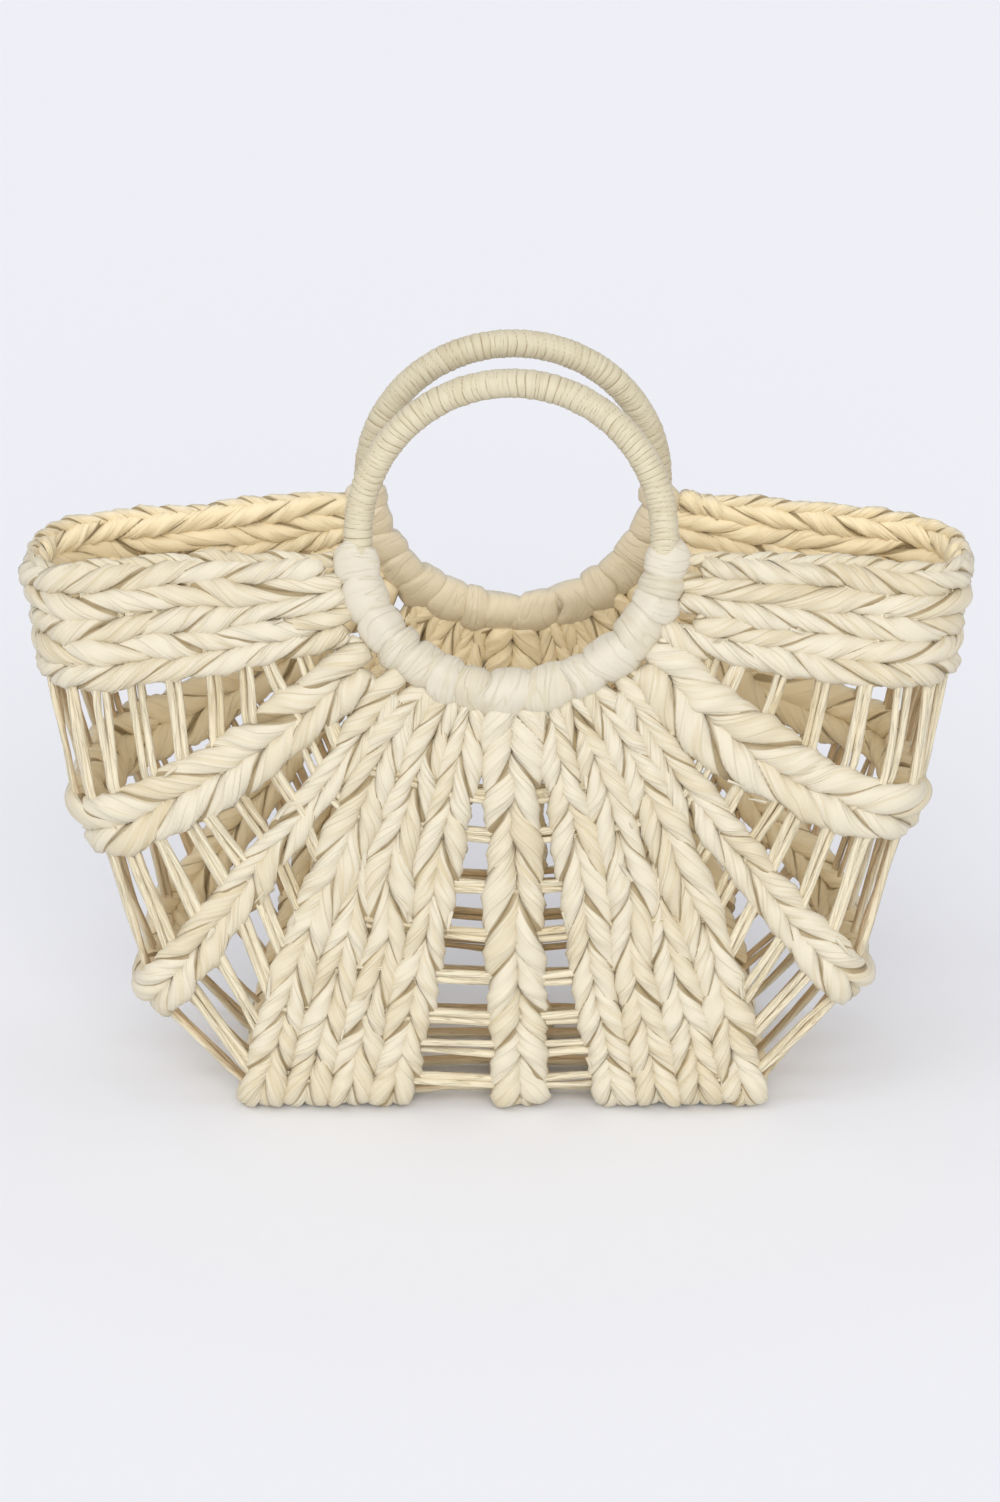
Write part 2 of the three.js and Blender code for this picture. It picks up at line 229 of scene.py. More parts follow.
# The camera, fitted to the photo: degrees above the horizon, metres from the point aimed at and
# the height of that point. The lens follows from the sensor in millimetres and from the photo's
# focal length and height in pixels, and the picture is moved sideways by a few pixels.
CAMERA_ELEVATION = 20.0
CAMERA_DISTANCE = 1.6
AIM_HEIGHT = 0.1505
SENSOR_WIDTH = 36.0
PHOTO_FOCAL_LENGTH = 3550
PHOTO_HEIGHT = 1502
PHOTO_SHIFT = -3

# The stage: a sheet of pale paper under a pale, even sky
PAPER_COLOUR = "#eff0f3"
PAPER_SIZE = 30
SKY_COLOUR = "#f2f2f7"
SKY_STRENGTH = 0.78


def linear(hex_colour):
    """sRGB hex colour as linear red, green, blue and alpha."""
    values = [int(hex_colour[i : i + 2], 16) / 255 for i in (1, 3, 5)]
    return [v / 12.92 if v <= 0.04045 else ((v + 0.055) / 1.055) ** 2.4 for v in values] + [1.0]


# Shape of the wall


def blend(value, low, high):
    """0 at low, 1 at high, with a soft start and end."""
    x = np.clip((value - low) / (high - low), 0.0, 1.0)
    return x * x * (3 - 2 * x)


def half_depth_at(height, across):
    """Half the bag's depth: upright below, leaning in above, more so towards the ends."""
    lean = HOOP_LEAN + (END_LEAN - HOOP_LEAN) * blend(across, BINDING_OUTER, END_LEAN_REACH)
    slope = np.tan(np.radians(lean))
    bend = LEAN_FULL_HEIGHT - LEAN_START_HEIGHT
    above = np.maximum(height - LEAN_START_HEIGHT, 0.0)
    return HALF_DEPTH - slope * np.where(above < bend, above**2 / (2 * bend), above - bend / 2)


def side_braids(place, side):
    """The braids of one side from the rim to the base, as dictionaries."""
    base = ((BASE_REACH, MID_WALL), (BASE_REACH - BASE_BLOCK_WIDTH, MID_WALL))
    upper, lower = np.array(TURNS[place]) - (MID_WALL, 0)
    high_reach, low_reach = BAND_REACHES[place]
    band = (
        (high_reach - MID_WALL, BAND_END_HEIGHT),
        (low_reach - MID_WALL, BAND_END_HEIGHT - BAND_END_DEPTH),
    )
    braids = []
    for row, ends in zip(BRAID_TABLES[place], (band, upper, lower, base)):
        name, rows, angles, bows, bend_ats = row
        braids.append(
            dict(
                name=f"{name}_{place}", kind=name, rows=rows, angles=angles, bows=bows,
                bend_ats=bend_ats, radius=CORNER_RADII[name], ends=np.array(ends), side=side,
            )
        )
    return braids


def all_braids():
    """Every braid in order from the left rim, under the hoops, to the right rim."""
    low, high = CENTRE_BRAID_EDGES
    centre = dict(
        name="centre_braid", kind="centre_braid", rows=2, angles=CENTRE_BRAID_ANGLES, bows=(0, 0),
        bend_ats=(0.5, 0.5), radius=CORNER_RADII["centre_braid"],
        ends=np.array(((-low, MID_WALL), (-high, MID_WALL))), side=1,
    )
    braids = side_braids("left", 1) + [centre] + side_braids("right", -1)[::-1]
    for braid in braids:
        braid["wall"] = braid_wall(braid)
    return braids


def mix(pair, share):
    """Between the two values or points of a pair, by share."""
    low, high = np.array(pair[0], float), np.array(pair[1], float)
    return low + (high - low) * share


def row_lines(braid, shares, offset):
    """Points along each row's line over one face, as (row, step, across and up), and lengths."""
    share = shares[:, None]
    angle = np.radians(mix(braid["angles"], share))
    lean = math.cos(math.radians(HOOP_LEAN))
    start = np.hstack((
        ROW_START_RADIUS * np.cos(angle) - braid["side"] * offset,
        HOOP_HEIGHT - ROW_START_RADIUS * np.sin(angle) * lean,
    ))
    end = mix(braid["ends"], share)
    along = end - start
    down = np.stack((along[:, 1], -along[:, 0]), axis=1)
    control = start + along * mix(braid["bend_ats"], share) + down * mix(braid["bows"], share)
    t = np.linspace(0, 1, LINE_POINTS)[None, :, None]
    line = (1 - t) ** 2 * start[:, None] + 2 * t * (1 - t) * control[:, None] + t**2 * end[:, None]
    return line, lengths_along(line)


def face_points(braid, shares, half_ways, offset, parts):
    """The wall from one hoop to the middle of the side or base: across, depth and height."""
    line, length = row_lines(braid, shares, offset)
    radius = braid["radius"]
    points = np.zeros((len(shares), len(half_ways), 3))
    for i in range(len(shares)):
        whole = length[i, -1]
        flat = whole - radius
        end_across, end_height = line[i, -1]
        straight = half_depth_at(end_height, end_across) - radius
        turn = np.clip((half_ways - parts[0]) / (parts[1] - parts[0]), 0, 1) * math.pi / 2
        rest = np.clip((half_ways - parts[1]) / (1 - parts[1]), 0, 1)
        reach = np.minimum(half_ways / parts[0], 1) * flat + radius * np.sin(turn)
        inward = radius * (1 - np.cos(turn)) + rest * straight
        across = np.interp(reach, length[i], line[i, :, 0])
        height = np.interp(reach, length[i], line[i, :, 1])
        depth = half_depth_at(height, across) - inward
        points[i] = np.stack((-braid["side"] * across, depth, height), axis=1)
    return points


def braid_wall(braid):
    """A fine net of points and outward normals over the braid, hoop to hoop."""
    shares = np.linspace(-NET_MARGIN, 1 + NET_MARGIN, NET_ROWS)
    half_ways = np.linspace(0, 1, NET_STEPS)
    line, length = row_lines(braid, np.array([0.5]), HOOP_OFFSETS[0])
    radius = braid["radius"]
    flat = length[0, -1] - radius
    straight = half_depth_at(line[0, -1, 1], line[0, -1, 0]) - radius
    total = flat + math.pi / 2 * radius + straight
    parts = (flat / total, (flat + math.pi / 2 * radius) / total)
    front = face_points(braid, shares, half_ways, HOOP_OFFSETS[0], parts)
    back = face_points(braid, shares, half_ways, HOOP_OFFSETS[1], parts)[:, -2::-1]
    front[:, :, 1] *= -1
    points = np.concatenate((front, back), axis=1)
    ways = np.linspace(0, 2, points.shape[1])
    normals = np.cross(np.gradient(points, axis=1), np.gradient(points, axis=0))
    normals /= np.linalg.norm(normals, axis=2, keepdims=True)
    outward = points - np.array((0.0, 0.0, MIDDLE_HEIGHT))
    normals *= np.sign(np.sum(normals * outward, axis=2, keepdims=True))
    return dict(shares=shares, ways=ways, points=points, normals=normals)


def on_wall(wall, share, way):
    """Points and normals of the wall for arrays of share and way."""
    across = np.interp(share, wall["shares"], np.arange(len(wall["shares"])))
    along = np.interp(way, wall["ways"], np.arange(len(wall["ways"])))
    row = np.minimum(across.astype(int), len(wall["shares"]) - 2)
    step = np.minimum(along.astype(int), len(wall["ways"]) - 2)
    past_row, past_step = (across - row)[..., None], (along - step)[..., None]
    results = []
    for net in (wall["points"], wall["normals"]):
        before = net[row, step] * (1 - past_row) + net[row + 1, step] * past_row
        after = net[row, step + 1] * (1 - past_row) + net[row + 1, step + 1] * past_row
        results.append(before * (1 - past_step) + after * past_step)
    return results


def unit(vectors):
    """The vectors with a length of one."""
    return vectors / np.linalg.norm(vectors, axis=-1, keepdims=True)


def lengths_along(points):
    """Distance along one or more lines at each of their points."""
    steps = np.linalg.norm(np.diff(points, axis=-2), axis=-1)
    return np.concatenate((np.zeros(steps.shape[:-1] + (1,)), np.cumsum(steps, axis=-1)), axis=-1)


def along_of(points):
    """Direction of a line at each of its points."""
    return unit(np.gradient(points, axis=0))


# Meshes


def deselect():
    """Leaves edit mode with nothing selected."""
    if bpy.context.mode != "OBJECT":
        bpy.ops.object.mode_set(mode="OBJECT")
    bpy.ops.object.select_all(action="DESELECT")


def bent_sheet(points, looks, uv_size):
    """A grid laid on an array of points, (along, around, 3), with named looks for each point.

    uv_size is how many metres of husk pattern it carries around and along.
    """
    along, around = points.shape[0] - 1, points.shape[1] - 1
    bpy.ops.mesh.primitive_grid_add(x_subdivisions=around, y_subdivisions=along, size=2)
    sheet = bpy.context.object
    mesh = sheet.data
    flat = np.empty(len(mesh.vertices) * 3, np.float32)
    mesh.vertices.foreach_get("co", flat)
    flat = flat.reshape(-1, 3)
    i = np.rint((flat[:, 1] + 1) / 2 * along).astype(int)
    j = np.rint((flat[:, 0] + 1) / 2 * around).astype(int)
    mesh.vertices.foreach_set("co", points[i, j].astype(np.float32).ravel())
    for name, values in looks.items():
        values = np.broadcast_to(values, points.shape[:2])
        layer = mesh.attributes.new(name, "FLOAT", "POINT")
        layer.data.foreach_set("value", values[i, j].astype(np.float32))
    layer = mesh.uv_layers.active.data
    uv = np.empty(len(layer) * 2, np.float32)
    layer.foreach_get("uv", uv)
    elsewhere = PATTERN_SHIFT * np.abs(points[0, 0, :2])
    uv = uv.reshape(-1, 2) * np.array(uv_size) + elsewhere
    layer.foreach_set("uv", uv.astype(np.float32).ravel())
    return sheet


def join_sheets(sheets, name):
    """One mesh of all the sheets, with its seams and ends merged and its faces turned outwards."""
    deselect()
    for sheet in sheets:
        sheet.select_set(True)
    bpy.context.view_layer.objects.active = sheets[0]
    if len(sheets) > 1:
        bpy.ops.object.join()
    piece = bpy.context.object
    piece.name = name
    piece.data.name = name
    bpy.ops.object.mode_set(mode="EDIT")
    bpy.ops.mesh.select_all(action="SELECT")
    bpy.ops.mesh.remove_doubles(threshold=2e-6)
    bpy.ops.mesh.normals_make_consistent(inside=False)
    bpy.ops.object.mode_set(mode="OBJECT")
    bpy.ops.object.shade_smooth()
    return piece


def dress(piece, node, material):
    """Puts the piece in the place of its solid, with its finish."""
    if not piece.data.polygons:
        raise RuntimeError(f"The mesh for {node} has no faces")
    piece.data.materials.clear()
    piece.data.materials.append(material)
    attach(piece, "root")
    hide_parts(node)


def husk_strand(centre, normal, lift, reach, half, tone, around, creases):
    """A strand of husk with a squarish round section, closed at both ends.

    lift and reach are the outward and sideways axes of its section in metres. half is how far the
    middle of the section sits along lift, as a share of it, so that painted seam shade darkens it
    towards 0. normal points out of the wall, and what faces the other way is inside the bag and takes
    the inside colour with its painted warm light.
    """
    # The last angle is the first one again, so that the seam closes
    turn = np.linspace(0, 2 * math.pi, around + 1)
    turn[-1] = 0
    square = [np.sign(f) * np.abs(f) ** SQUARENESS for f in (np.cos(turn), np.sin(turn))]
    crease = 1 + creases * (np.sin(3 * turn + 1) + np.sin(5 * turn))[None, :]
    out = half[:, None] + STRAND_RISE * square[0][None, :] * crease
    side = STRAND_SPREAD * square[1][None, :] * crease
    offset = out[..., None] * lift[:, None] + side[..., None] * reach[:, None]
    # Painted shade in the seam, where the strand tucks under its neighbour
    seam_shade = np.clip(1 - out / SEAM_SHADE_LIMIT, 0, 1) * (half[:, None] > 0)
    # Husk facing into the bag takes the inside colour, which paints warm bounce light or warm shade on it
    inner = blend(-np.sum(offset * normal[:, None], axis=2), *INSIDE_DEPTHS)
    looks = {"tone": tone[:, None], "seam_shade": seam_shade, "inner": inner}
    points = centre[:, None] + offset
    points[..., 2] = np.maximum(points[..., 2], 0.0)
    return bent_sheet(points, looks, (STRAND_HUSK_WIDTH, lengths_along(centre)[-1]))


# Rows of twined husk


def row_shares(braid, way):
    """Lower and upper edge of each row as shares of the braid, where short rows swell from nothing."""
    weights = np.ones((braid["rows"], len(way)))
    if braid["kind"] == "base_block":
        start = SHORT_ROW_STARTS[braid["side"]]
        half = np.where(way <= 1, way, 2 - way)
        for row in SHORT_ROWS:
            weights[row] = 0.02 + 0.98 * blend(half, start, start + SHORT_ROW_SWELL)
    edges = np.concatenate((np.zeros((1, len(way))), np.cumsum(weights, axis=0)))
    return edges / edges[-1]


def base_cord_ways():
    """Where the cords cross the front half of the rows that run under the base."""
    column = CORD_COLUMNS.index("base")
    return tuple(values[column] for values in CORD_TABLE)


def even_ways(braid, pitch, rng):
    """Middles of stitches of one length along a braid."""
    wall = braid["wall"]
    middle = wall["points"][len(wall["shares"]) // 2]
    length = lengths_along(middle)
    count = int(round(length[-1] / pitch))
    places = (np.arange(count) + rng.uniform(0.2, 0.8)) / count * length[-1]
    return np.interp(places, length, wall["ways"])


def stitch_ways(braid, row, rng):
    """Middle of each stitch along a row, of a length of its own or else one stitch to a cord."""
    if braid["kind"] in STITCHES:
        ways = even_ways(braid, STITCHES[braid["kind"]][row], rng)
    else:
        half = FIRST_STITCH_WAYS + base_cord_ways()
        ways = np.array(half + tuple(2 - way for way in reversed(half)))
    uneven = 0.20 if braid["kind"] in STITCHES else 0.13
    return ways + np.gradient(ways) * rng.uniform(-uneven, uneven, len(ways))


def twined_row(braid, row, rng, fine):
    """The two strands of one row of a braid, short where the row starts part of the way down."""
    middles = stitch_ways(braid, row, rng)
    count = len(middles)
    start, stop = -0.5, count - 0.5
    if braid["kind"] == "base_block" and row in SHORT_ROWS:
        first = SHORT_ROW_STARTS[braid["side"]] + 0.02 * (row - SHORT_ROWS[0])
        start = np.interp(first, middles, np.arange(count)) - 0.3
        stop = np.interp(2 - first, middles, np.arange(count)) + 0.3

    def edges(way):
        """Lower and upper edge of this row, spread at the hoops."""
        shares = row_shares(braid, way)
        spread = CLOSE_UP[braid["kind"]] * (1 - blend(np.minimum(way, 2 - way), *CLOSE_UP_WAYS))
        low = shares[row] - spread * (row == 0)
        return low, shares[row + 1] + spread * (row == braid["rows"] - 1)

    towards_base = row % 2 == (0 if braid["kind"] == "rim_band" else 1)
    hand = 1.0 if towards_base else -1.0
    thickness = bpy.context.scene.straw_looks.row_thickness
    return twist(braid["wall"], middles, (start, stop), edges, hand, thickness, rng, fine)


def rim_edging(braid, rng, fine):
    """The thin twist along the rim that holds the ends of the cords."""
    middles = even_ways(braid, EDGING_STITCH, rng)

    def edges(way):
        """Lower and upper edge of the twist, the same all along the rim."""
        return [np.full(len(way), edge) for edge in EDGING_EDGES]

    span = (-0.5, len(middles) - 0.5)
    coarse = dict(fine, stitch=fine["stitch"] * 2 // 3)
    return twist(braid["wall"], middles, span, edges, -1.0, EDGING_THICKNESS, rng, coarse)


def twist(wall, middles, span, edges, hand, thickness, rng, fine):
    """Two strands that turn round each other on the wall and show as one leaf to a stitch.

    middles are the ways of the stitches, span the first and last stitch number, edges a function
    that gives the lower and upper edge at each way, and hand the sense in which they turn.
    """
    count = len(middles)
    steps = int((span[1] - span[0]) * fine["stitch"])
    stitch = np.linspace(span[0], span[1], steps + 1)
    known = np.concatenate(([middles[0] * 2 - middles[1]], middles, [middles[-1] * 2 - middles[-2]]))
    way = np.clip(np.interp(stitch, np.arange(-1, count + 1), known), 0.0, 2.0)
    low, high = edges(way)
    centre, normal = on_wall(wall, (low + high) / 2, way)
    keep = np.concatenate(([True], np.linalg.norm(np.diff(centre, axis=0), axis=1) > 1e-6))
    across = (on_wall(wall, high, way)[0] - on_wall(wall, low, way)[0])[keep]
    stitch, centre, normal = stitch[keep], centre[keep], unit(normal[keep])
    width = np.linalg.norm(across, axis=1)
    sideways = unit(np.cross(normal, along_of(centre)))
    sideways *= np.sign(np.sum(sideways * across, axis=1, keepdims=True))
    # Narrow rows are thinner too, and each strand is rounded off at both ends
    size = np.clip(width / FULL_ROW_WIDTH, 0.35, 1.15)
    reach = np.minimum(stitch - stitch[0], stitch[-1] - stitch) / 0.10
    taper = np.sqrt(np.clip(reach, 1e-9, 1.0))
    broad = np.sqrt((width * 0.52) ** 2 + LEAST_HALF_WIDTH**2) * taper
    knots = np.arange(-1, count + 2)
    sheets = []
    for strand in range(2):
        uneven = [
            np.interp(stitch, knots, rng.normal(middle, spread, len(knots)))
            for middle, spread in UNEVENNESS
        ]
        wide, thick, shift, roll, creases = uneven
        tones = rng.uniform(0, 1, len(knots))
        # Half a turn to a stitch, so that the two strands take turns on top
        phase = np.pi * (stitch - strand) + roll
        shown = np.abs(np.cos(phase))
        flat = sideways * (broad * wide)[:, None]
        round_out = normal * (thickness / 2 * size**0.6 * thick * taper)[:, None]
        swing = (hand * np.sin(phase))[:, None]
        lift = round_out * np.cos(phase)[:, None] + flat * swing
        side = flat * np.cos(phase)[:, None] - round_out * swing
        side *= (0.88 + 0.12 * shown)[:, None]
        half = STRAND_OFFSET + 0.06 * np.sin(2 * phase) + 0.03 * shown
        # Each leaf has its own tone, which changes where the strand is hidden
        leaf = (stitch - strand) / 2
        nearest = np.rint(leaf).astype(int)
        following = nearest + np.where(leaf > nearest, 1, -1)
        mixed = 0.5 * blend(np.abs(leaf - nearest), 0.40, 0.50)
        tone = tones[nearest] * (1 - mixed) + tones[following] * mixed
        path = centre + sideways * shift[:, None]
        section = (lift, side, half)
        sheets.append(
            husk_strand(path, normal, *section, tone, around=fine["strand"], creases=creases[:, None])
        )
    return sheets


def stray_tips(braid, count, rng):
    """Tips of husk that stick out a little from between the stitches."""
    wall = braid["wall"]
    sheets = []
    for _ in range(count):
        row = rng.integers(0, braid["rows"] + 1)
        low = row_shares(braid, np.array([1.0]))[row, 0]
        start = rng.uniform(*TIP_WAYS) + rng.choice((0.0, TIP_BACK_START))
        steps = np.linspace(0, 1, 7)
        way = start + steps * rng.uniform(*TIP_LENGTHS) * rng.choice((-1, 1))
        share = low + steps * rng.normal(0, 0.25 / braid["rows"])
        centre, normal = on_wall(wall, np.clip(share, -0.08, 1.08), np.clip(way, 0, 2))
        rise = TIP_ROOT + TIP_RISE * steps + rng.uniform(0.0, TIP_CURL) * steps**2
        centre = centre + normal * rise[:, None]
        across = unit(np.cross(normal, along_of(centre)))
        narrow = np.sqrt(np.clip(1 - steps, 1e-9, 1)) * rng.uniform(*TIP_HALF_WIDTHS)
        half = np.zeros(len(steps))
        tone = np.full(len(steps), rng.uniform(0, 1))
        lift, side = normal * (narrow * 0.35)[:, None], across * narrow[:, None]
        section = (lift, side, half)
        sheets.append(husk_strand(centre, normal, *section, tone, around=6, creases=0.0))
    return sheets


# Paired cords


def cord_line(braids, index, face):
    """Points of one cord from rim to rim, with a bend at each crossing, and the wall's normals."""
    walls = {braid["name"]: braid["wall"] for braid in braids}
    points, normals = [], []
    for name, column, shares in CROSSINGS:
        way = CORD_TABLE[index][CORD_COLUMNS.index(column)]
        for share in shares:
            way_round = way if face == 0 else 2 - way
            point, normal = on_wall(walls[name], np.array([share]), np.array([way_round]))
            points.append(point[0])
            normals.append(normal[0])
    return np.array(points), unit(np.array(normals))


def paired_cord(braids, index, face, rng, fine):
    """Two twisted strands side by side, a little slack and uneven."""
    knots, normals = cord_line(braids, index, face)
    places = lengths_along(knots)
    total = places[-1]
    steps = int(total / CORD_STEP)
    place = np.linspace(0, total, steps + 1)
    line = np.stack([np.interp(place, places, knots[:, i]) for i in range(3)], axis=1)
    # The bends are eased, since husk doesn't kink
    for _ in range(2):
        line[1:-1] = 0.25 * line[:-2] + 0.5 * line[1:-1] + 0.25 * line[2:]
    normal = unit(np.stack([np.interp(place, places, normals[:, i]) for i in range(3)], axis=1))
    along = along_of(line)
    across = unit(np.cross(along, normal))
    stretches = np.arange(0, total + 0.03, CORD_STRETCH)
    looks = bpy.context.scene.straw_looks

    def uneven(middle, spread):
        """A value that wanders along the cord, with a mean and a spread."""
        return np.interp(place, stretches, rng.normal(middle, spread, len(stretches)))

    sheets = []
    # The pair tilts a little, so that now one strand stands out and now the other
    tilt = uneven(0, 0.28)
    for strand in (-1, 1):
        wander = uneven(0, 0.0005)
        rise = uneven(0, 0.0003)
        spread = PAIR_SPREAD * strand + wander
        path = line + across * (spread * np.cos(tilt))[:, None]
        path += normal * (spread * np.sin(tilt) + rise)[:, None]
        width = looks.cord_width / 2 * uneven(1, 0.09)
        thick = looks.cord_thickness / 2 * uneven(1, 0.12)
        ends = np.sqrt(np.clip(np.minimum(place, total - place) / CORD_END, 1e-8, 1))
        roll = strand * 0.4 + place * CORD_TWIST * strand
        lift = normal * np.cos(roll)[:, None] + across * np.sin(roll)[:, None]
        side = across * np.cos(roll)[:, None] - normal * np.sin(roll)[:, None]
        lift *= (thick * ends / STRAND_RISE)[:, None]
        side *= (width * ends / STRAND_SPREAD)[:, None]
        tone = np.full(len(place), rng.uniform(0, 1))
        half = np.zeros(len(place))
        section = (lift, side, half)
        sheets.append(
            husk_strand(path, normal, *section, tone, around=fine["cord"], creases=0.05)
        )
    return sheets


# Hoops


def hoop_frame(face):
    """Middle, right, up and out of a hoop. Both lean in at the top."""
    side = -1 if face == 0 else 1
    lean = math.radians(HOOP_LEAN)
    depth = half_depth_at(np.array(HOOP_HEIGHT), np.array(0.0))
    middle = np.array((HOOP_OFFSETS[face], side * float(depth), HOOP_HEIGHT))
    up = np.array((0, -side * math.sin(lean), math.cos(lean)))
    out = np.array((0, side * math.cos(lean), math.sin(lean)))
    return middle, np.array((1.0, 0, 0)), up, out


def ring_points(face, turn, radius, outwards):
    """Points from angles round a hoop, distances from its middle and heights off its plane."""
    middle, right, up, out = hoop_frame(face)
    flat = np.cos(turn)[..., None] * right + np.sin(turn)[..., None] * up
    return middle + flat * radius[..., None] + outwards[..., None] * out


def wound_hoop(face, rng, fine):
    """A hoop wound with a narrow strip: each turn laps a little over the one before."""
    tube = bpy.context.scene.straw_looks.hoop_thickness / 2
    steps = HOOP_TURNS * fine["turn"]
    edges = np.cumsum(rng.uniform(0.4, 1.6, HOOP_TURNS))
    edges = np.concatenate(([0], edges / edges[-1]))
    around = np.linspace(0, 2 * math.pi, fine["hoop"] + 1)[None, :]
    share = np.linspace(0, 1, steps + 1)[:, None]
    # The turns of strip run aslant and wander a little
    lay = share + 0.0035 * np.sin(around) + 0.0012 * np.sin(2 * around + 7 * share * 2 * math.pi)
    lay = np.mod(lay, 1.0)
    index = np.clip(np.searchsorted(edges, lay, side="right") - 1, 0, HOOP_TURNS - 1)
    within = (lay - edges[index]) / (edges[index + 1] - edges[index])
    # Each turn bulges in its middle and laps over the one before, and gets painted shade at its edges,
    # between the turns
    bulge = rng.normal(0.00030, 0.0001, HOOP_TURNS)[index]
    profile = (1 - (2 * within - 0.85) ** 2) * bulge + 0.0002 * within
    turn = -2 * math.pi * share + math.pi / 2
    # Under the binding the hoop is thinner
    bound = blend(-np.sin(turn), 0.08, 0.22)
    radius = (tube + profile) * (1 - 0.25 * bound)
    section = HOOP_RADIUS + radius * np.cos(around)
    points = ring_points(face, turn, section, radius * np.sin(around))
    tone = rng.uniform(0.3, 1, HOOP_TURNS)[index]
    seam_shade = np.clip(np.abs(2 * within - 1) * 2.4 - 1.3, 0, 1)
    looks = {"tone": tone, "seam_shade": seam_shade, "inner": np.zeros((1, 1))}
    return bent_sheet(points, looks, (HOOP_HUSK_WIDTH, 2 * math.pi * HOOP_RADIUS))


def binding_strip(face, edges, index, rng, fine):
    """One wide strip of the binding, which swells along its width and laps over the next one."""
    span = edges[index + 1] - edges[index]
    share = 1 - np.linspace(1, 0, fine["strip"] + 1)[:, None] ** 1.5
    around = np.linspace(0, 2 * math.pi, fine["binding"] + 1)[None, :]
    place = edges[index] - 0.32 * span + 1.40 * span * share
    lay = span * (rng.normal(0.05, 0.12) * np.sin(around) + rng.normal(0, 0.10) * np.cos(around))
    # The binding is widest at its two ends, but its first strips there lie close on the hoop
    to_end = abs(edges[index] + span / 2 - math.pi / 2) / (math.pi / 2)
    start = min(1.0, 0.35 * (1 + min(index, BINDING_STRIPS - 1 - index)))
    wide = BINDING_HALF_WIDTH + 0.0010 * to_end**2 + rng.normal(0, 0.0003)
    thick = BINDING_HALF_THICKNESS + rng.normal(0, 0.0004)
    wide, thick = wide * (0.75 + 0.25 * start), thick * (0.75 + 0.25 * start)
    phases = rng.uniform(0, 6, 4)
    # Lumps round the strip, folds along it and a lip that tucks under at its end
    lump = 1 + 0.03 * np.sin(3 * around + phases[0]) + 0.02 * np.sin(5 * around + phases[1])
    fold = 1 + 0.012 * np.sin(13 * share + phases[2] + 1.5 * np.sin(around + phases[3]))
    lip = 0.28 * np.clip((share - 0.86) / 0.14, 0, 1) ** 2
    swell = (0.66 + 0.34 * np.sqrt(blend(share, 0.0, 0.55)) - lip) * lump * fold
    belly = np.sin(math.pi * share) * rng.uniform(0.2, 1.0)
    toe = np.clip(np.cos(around), 0, 1) ** 2 * 0.0040 + np.clip(-np.cos(around), 0, 1) ** 3 * 0.0014
    middle_radius = (BINDING_INNER + BINDING_OUTER) / 2
    base = HOOP_RADIUS + (middle_radius + 0.0018 * to_end**2 - HOOP_RADIUS) * start
    radius = base + wide * swell * np.cos(around) + toe * belly * np.sign(np.cos(around))
    wave = 0.07 * span * np.sin(2 * around + phases[3]) * share
    turn = -(place + lay + wave)
    points = ring_points(face, turn, radius, thick * swell * np.sin(around))
    core = np.full((1, points.shape[1]), base)
    closed = [ring_points(face, turn[[end]], core, np.zeros(core.shape)) for end in (0, -1)]
    points = np.concatenate((closed[0], points, closed[1]))
    edge = np.concatenate(([[0.0]], share, [[1.0]]))
    # Painted shade at the strip's edges, where it lies under the one before and where its lip tucks under,
    # and the inside colour with painted warm bounce light on the side facing into the bag
    looks = {
        "tone": np.full((1, 1), rng.uniform(0, 1)),
        "seam_shade": np.maximum(1.1 - edge / 0.34, (edge - 0.93) / 0.07).clip(0, 1) * 0.75,
        "inner": blend(-np.sin(around), -0.1, 0.5),
    }
    return bent_sheet(points, looks, BINDING_HUSK_SIZE)


def wide_binding(face, rng, fine):
    """Wide strips of husk round the lower half of a hoop, each lapping over the next one's edge."""
    first, last = np.radians(BINDING_ANGLES)
    widths = rng.uniform(0.65, 1.35, BINDING_STRIPS)
    edges = first + (last - first) * np.concatenate(([0], np.cumsum(widths))) / widths.sum()
    return [binding_strip(face, edges, index, rng, fine) for index in range(BINDING_STRIPS)]


# Materials


def add_node(tree, kind, settings=(), **inputs):
    """Adds a node, sets its properties, and fills or links its inputs by name, or _ and number."""
    node = tree.nodes.new(kind)
    for name, value in dict(settings).items():
        setattr(node, name, value)
    for name, value in inputs.items():
        socket = node.inputs[int(name[1:])] if name[1:].isdigit() else node.inputs[name.replace("_", " ")]
        if isinstance(value, bpy.types.NodeSocket):
            tree.links.new(value, socket)
        else:
            socket.default_value = value
    return node


def calculate(tree, operation, *values):
    """Result of arithmetic on node outputs or numbers."""
    inputs = {f"_{index}": value for index, value in enumerate(values)}
    return add_node(tree, "ShaderNodeMath", {"operation": operation}, **inputs).outputs[0]


def noise(tree, place, scale, detail, roughness):
    """Cloudy noise, from 0 to 1."""
    return add_node(
        tree, "ShaderNodeTexNoise", Vector=place, Scale=scale, Detail=detail, Roughness=roughness
    ).outputs["Fac"]


def soft_step(tree, value, low, high, start, end):
    """Goes smoothly from start to end while the value goes from low to high."""
    return add_node(
        tree, "ShaderNodeMapRange", {"interpolation_type": "SMOOTHSTEP"},
        Value=value, From_Min=low, From_Max=high, To_Min=start, To_Max=end,
    ).outputs["Result"]


def mixed_colour(tree, share, first, second):
    """A mix of two colours by share."""
    return add_node(
        tree, "ShaderNodeMix", {"data_type": "RGBA"}, _0=share, _6=first, _7=second
    ).outputs[2]


